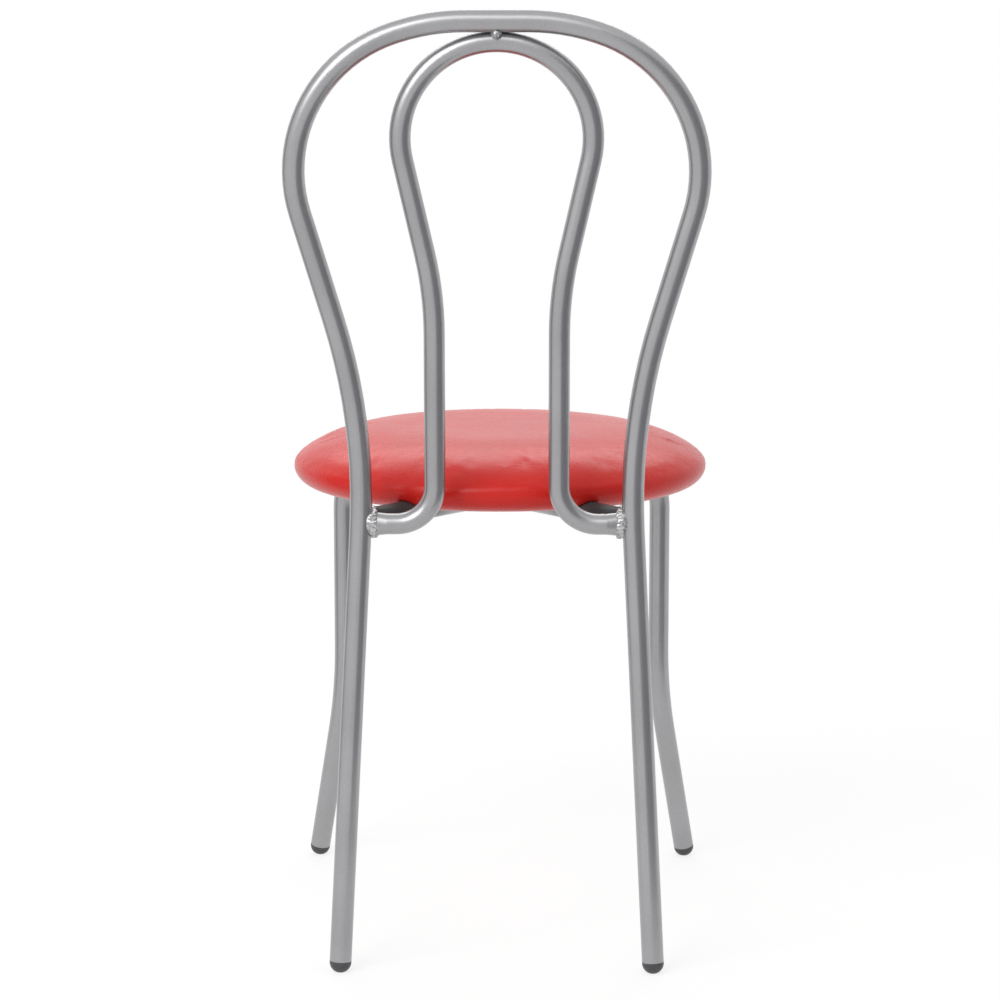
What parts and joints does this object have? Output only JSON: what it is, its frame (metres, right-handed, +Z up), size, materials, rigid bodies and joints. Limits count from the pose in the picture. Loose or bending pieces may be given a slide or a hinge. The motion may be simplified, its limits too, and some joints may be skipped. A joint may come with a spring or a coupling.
{
  "type": "cafe chair",
  "caption": "Bent-tube cafe chair: silver painted steel frame with a double hoop back, splayed legs on domed plastic glides and a round padded red vinyl seat.",
  "frame": {"origin": "on the floor, under the middle of the chair's bounding box, midway between the seat's front edge and the back of the crown", "axes": "+Z up, -Y towards the front of the chair, +X towards the sitter's left"},
  "size_m": [0.396, 0.461, 0.87],
  "materials": {
    "frame_paint": "satin",
    "weld_bead": "satin",
    "glide_plastic": "satin",
    "seat_vinyl": "satin",
    "seat_foam": "matte",
    "seat_plywood": "matte",
    "zinc_fastener": "satin"
  },
  "bodies": {
    "root": {"rear_frame_tube": "frame_paint", "inner_hoop_tube": "frame_paint", "front_leg_left_tube": "frame_paint", "front_leg_right_tube": "frame_paint", "hoop_top_weld": "weld_bead", "hoop_foot_weld_left": "weld_bead", "hoop_foot_weld_right": "weld_bead", "brace_weld_left": "weld_bead", "brace_weld_right": "weld_bead", "cross_lap_weld": "weld_bead", "glide_rear_left": "glide_plastic", "glide_rear_right": "glide_plastic", "glide_front_left": "glide_plastic", "glide_front_right": "glide_plastic", "seat_cover": "seat_vinyl", "seat_foam": "seat_foam", "seat_board": "seat_plywood", "hem_staples": "zinc_fastener", "saddle_washers": "zinc_fastener", "seat_bolts": "zinc_fastener", "tee_nuts": "zinc_fastener"}
  },
  "joints": []
}
